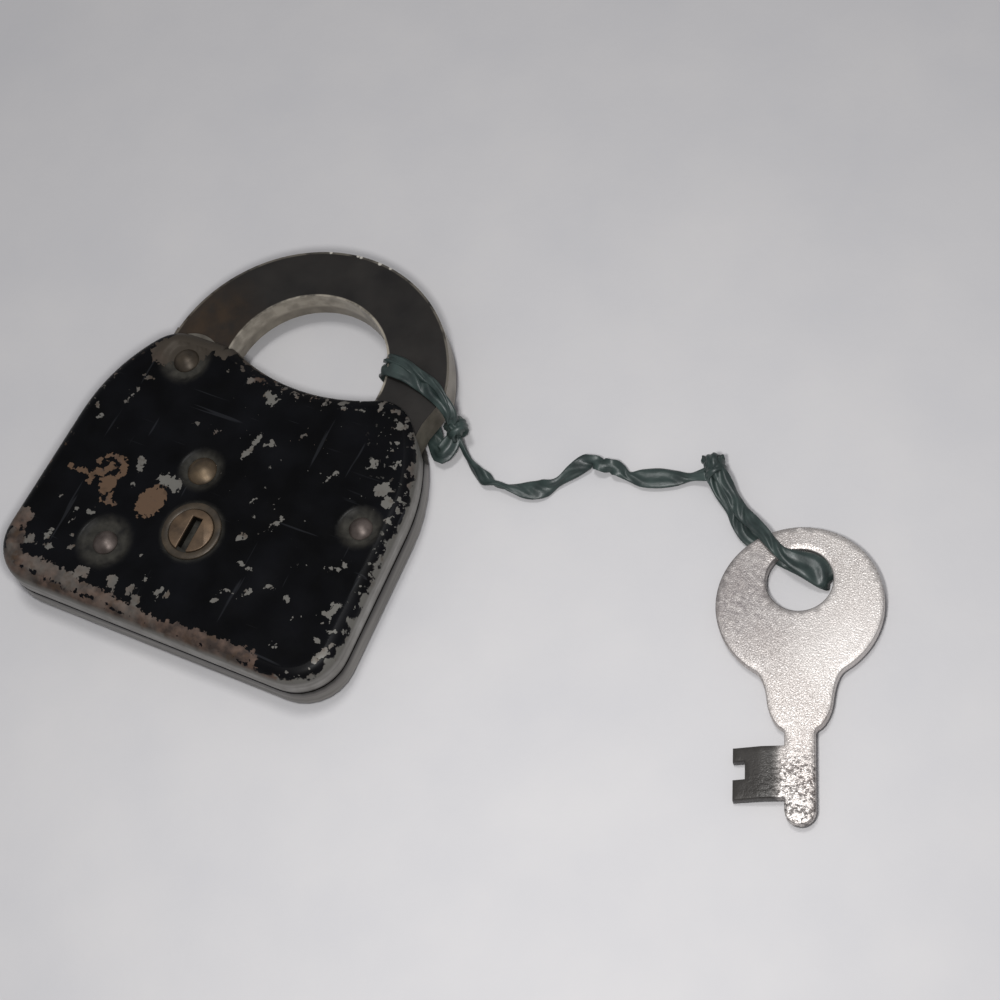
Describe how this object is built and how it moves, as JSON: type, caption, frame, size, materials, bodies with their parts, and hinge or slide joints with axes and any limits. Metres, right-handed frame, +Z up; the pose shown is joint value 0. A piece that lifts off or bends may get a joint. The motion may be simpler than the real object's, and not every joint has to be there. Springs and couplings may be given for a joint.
{
  "type": "padlock",
  "caption": "Old flat pressed-steel warded padlock, chipped black paint and rust, swinging bow shackle, flat key on a ribbon tie.",
  "frame": {"origin": "on the underside, the flat face it rests on, at the middle of the case's width and length", "axes": "+X along the case's bottom edge, to the side of the shackle's toe; +Y from the bottom edge towards the shackle; +Z up, out of the face with the slotted disc"},
  "size_m": [0.1091, 0.058, 0.0094],
  "materials": {
    "black_paint": "gloss, chipped",
    "rusty_steel": "dark, worn and rusty",
    "worn_steel": "worn, stained",
    "inner_steel": "plain",
    "spring_steel": "plain",
    "brassy_steel": "dull, brownish",
    "nickelled_steel": "pitted plating",
    "tie_plastic": "glossy, crumpled"
  },
  "bodies": {
    "case": {"rear_shell": "black_paint", "front_shell": "black_paint", "pivot_rivet": "worn_steel", "pivot_washer_rear": "inner_steel", "pivot_washer_front": "inner_steel", "corner_rivet": "worn_steel", "corner_spacer_rear": "inner_steel", "corner_spacer_front": "inner_steel", "bolt_stud_left": "brassy_steel", "bolt_stud_right": "worn_steel", "stud_spacer_left_rear": "inner_steel", "stud_spacer_left_front": "inner_steel", "stud_spacer_right_rear": "inner_steel", "stud_spacer_right_front": "inner_steel", "bolt_spring": "spring_steel", "ward_plate": "inner_steel", "drum_collar": "black_paint"},
    "shackle": {"shackle": "rusty_steel", "tie_loop_shackle": "tie_plastic", "tie_knot_shackle": "tie_plastic", "tie": "tie_plastic", "tie_knot_key": "tie_plastic", "tie_loop_key": "tie_plastic", "key": "nickelled_steel"},
    "bolt": {"bolt": "inner_steel"},
    "drum": {"key_drum": "brassy_steel"}
  },
  "joints": [
    {"name": "shackle_swing", "type": "hinge", "parent": "case", "child": "shackle", "pos_m": [-0.0137, 0.0155, 0.0045], "axis": [0, 0, 1], "range_deg": [0, 80]},
    {"name": "bolt_slide", "type": "slide", "parent": "case", "child": "bolt", "axis": [1, 0, 0], "range_m": [0, 0.0032]},
    {"name": "drum_turn", "type": "hinge", "parent": "case", "child": "drum", "pos_m": [-0.0004, -0.0061, 0.009], "axis": [0, 0, 1], "continuous": true}
  ]
}
